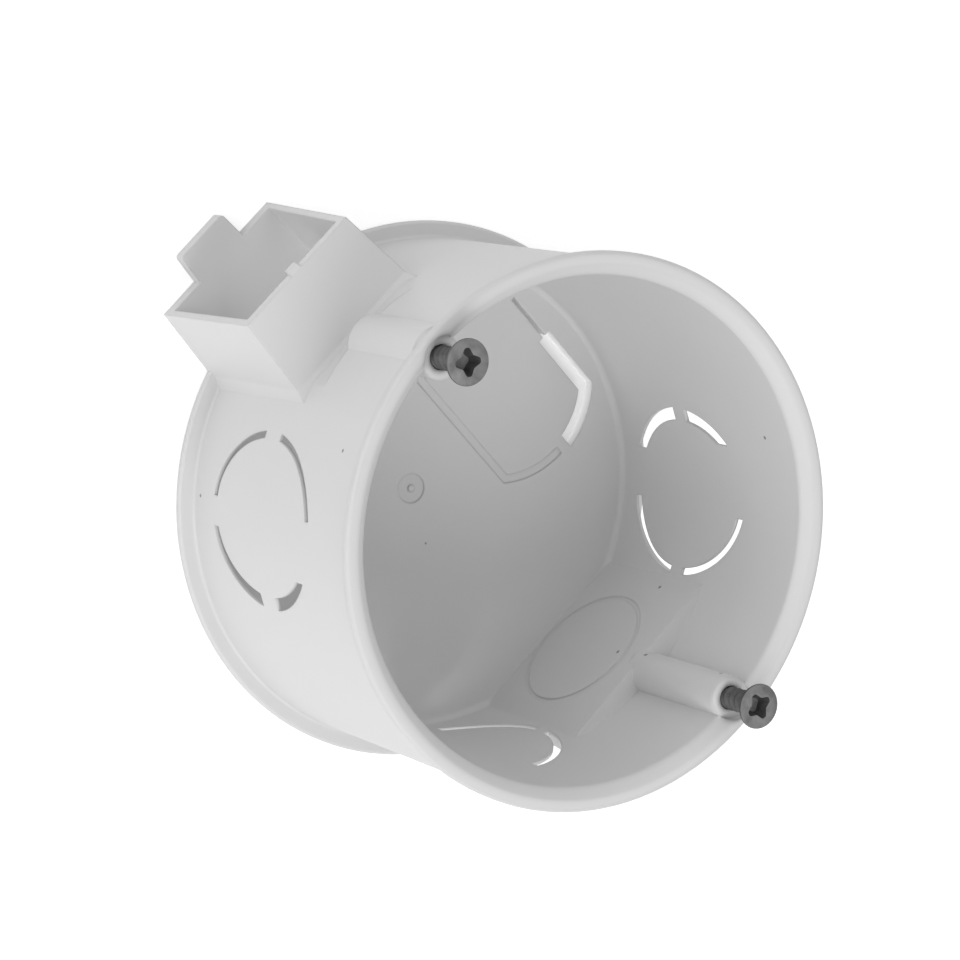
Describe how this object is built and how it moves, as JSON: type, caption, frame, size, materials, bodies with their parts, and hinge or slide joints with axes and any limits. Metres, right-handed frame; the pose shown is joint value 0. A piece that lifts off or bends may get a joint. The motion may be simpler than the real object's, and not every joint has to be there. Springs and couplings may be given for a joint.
{
  "type": "flush-mounting switch box",
  "caption": "Round plaster-in switch box with flange, coupling tunnel, flat mating side, slotted knock-outs and countersunk device screws.",
  "frame": {"origin": "on the axis of the cup, in the outer face of its closed end", "axes": "+Z out of the mouth, +X towards the coupling tunnel, +Y completes the right-handed set"},
  "size_m": [0.0796, 0.0686, 0.047],
  "materials": {
    "body": "light grey moulded plastic, matt, with a faint satin sheen",
    "screw": "zinc-plated steel, darkened, with rolled threads"
  },
  "bodies": {
    "box": {"box_body": "body"},
    "tunnel_side_screw": {"tunnel_side_screw": "screw"},
    "flat_side_screw": {"flat_side_screw": "screw"}
  },
  "joints": [
    {"name": "tunnel_side_screw_travel", "type": "slide", "parent": "box", "child": "tunnel_side_screw", "axis": [0, 0, 1], "range_m": [-0.0044, 0.008]},
    {"name": "flat_side_screw_travel", "type": "slide", "parent": "box", "child": "flat_side_screw", "axis": [0, 0, 1], "range_m": [-0.0044, 0.008]}
  ]
}
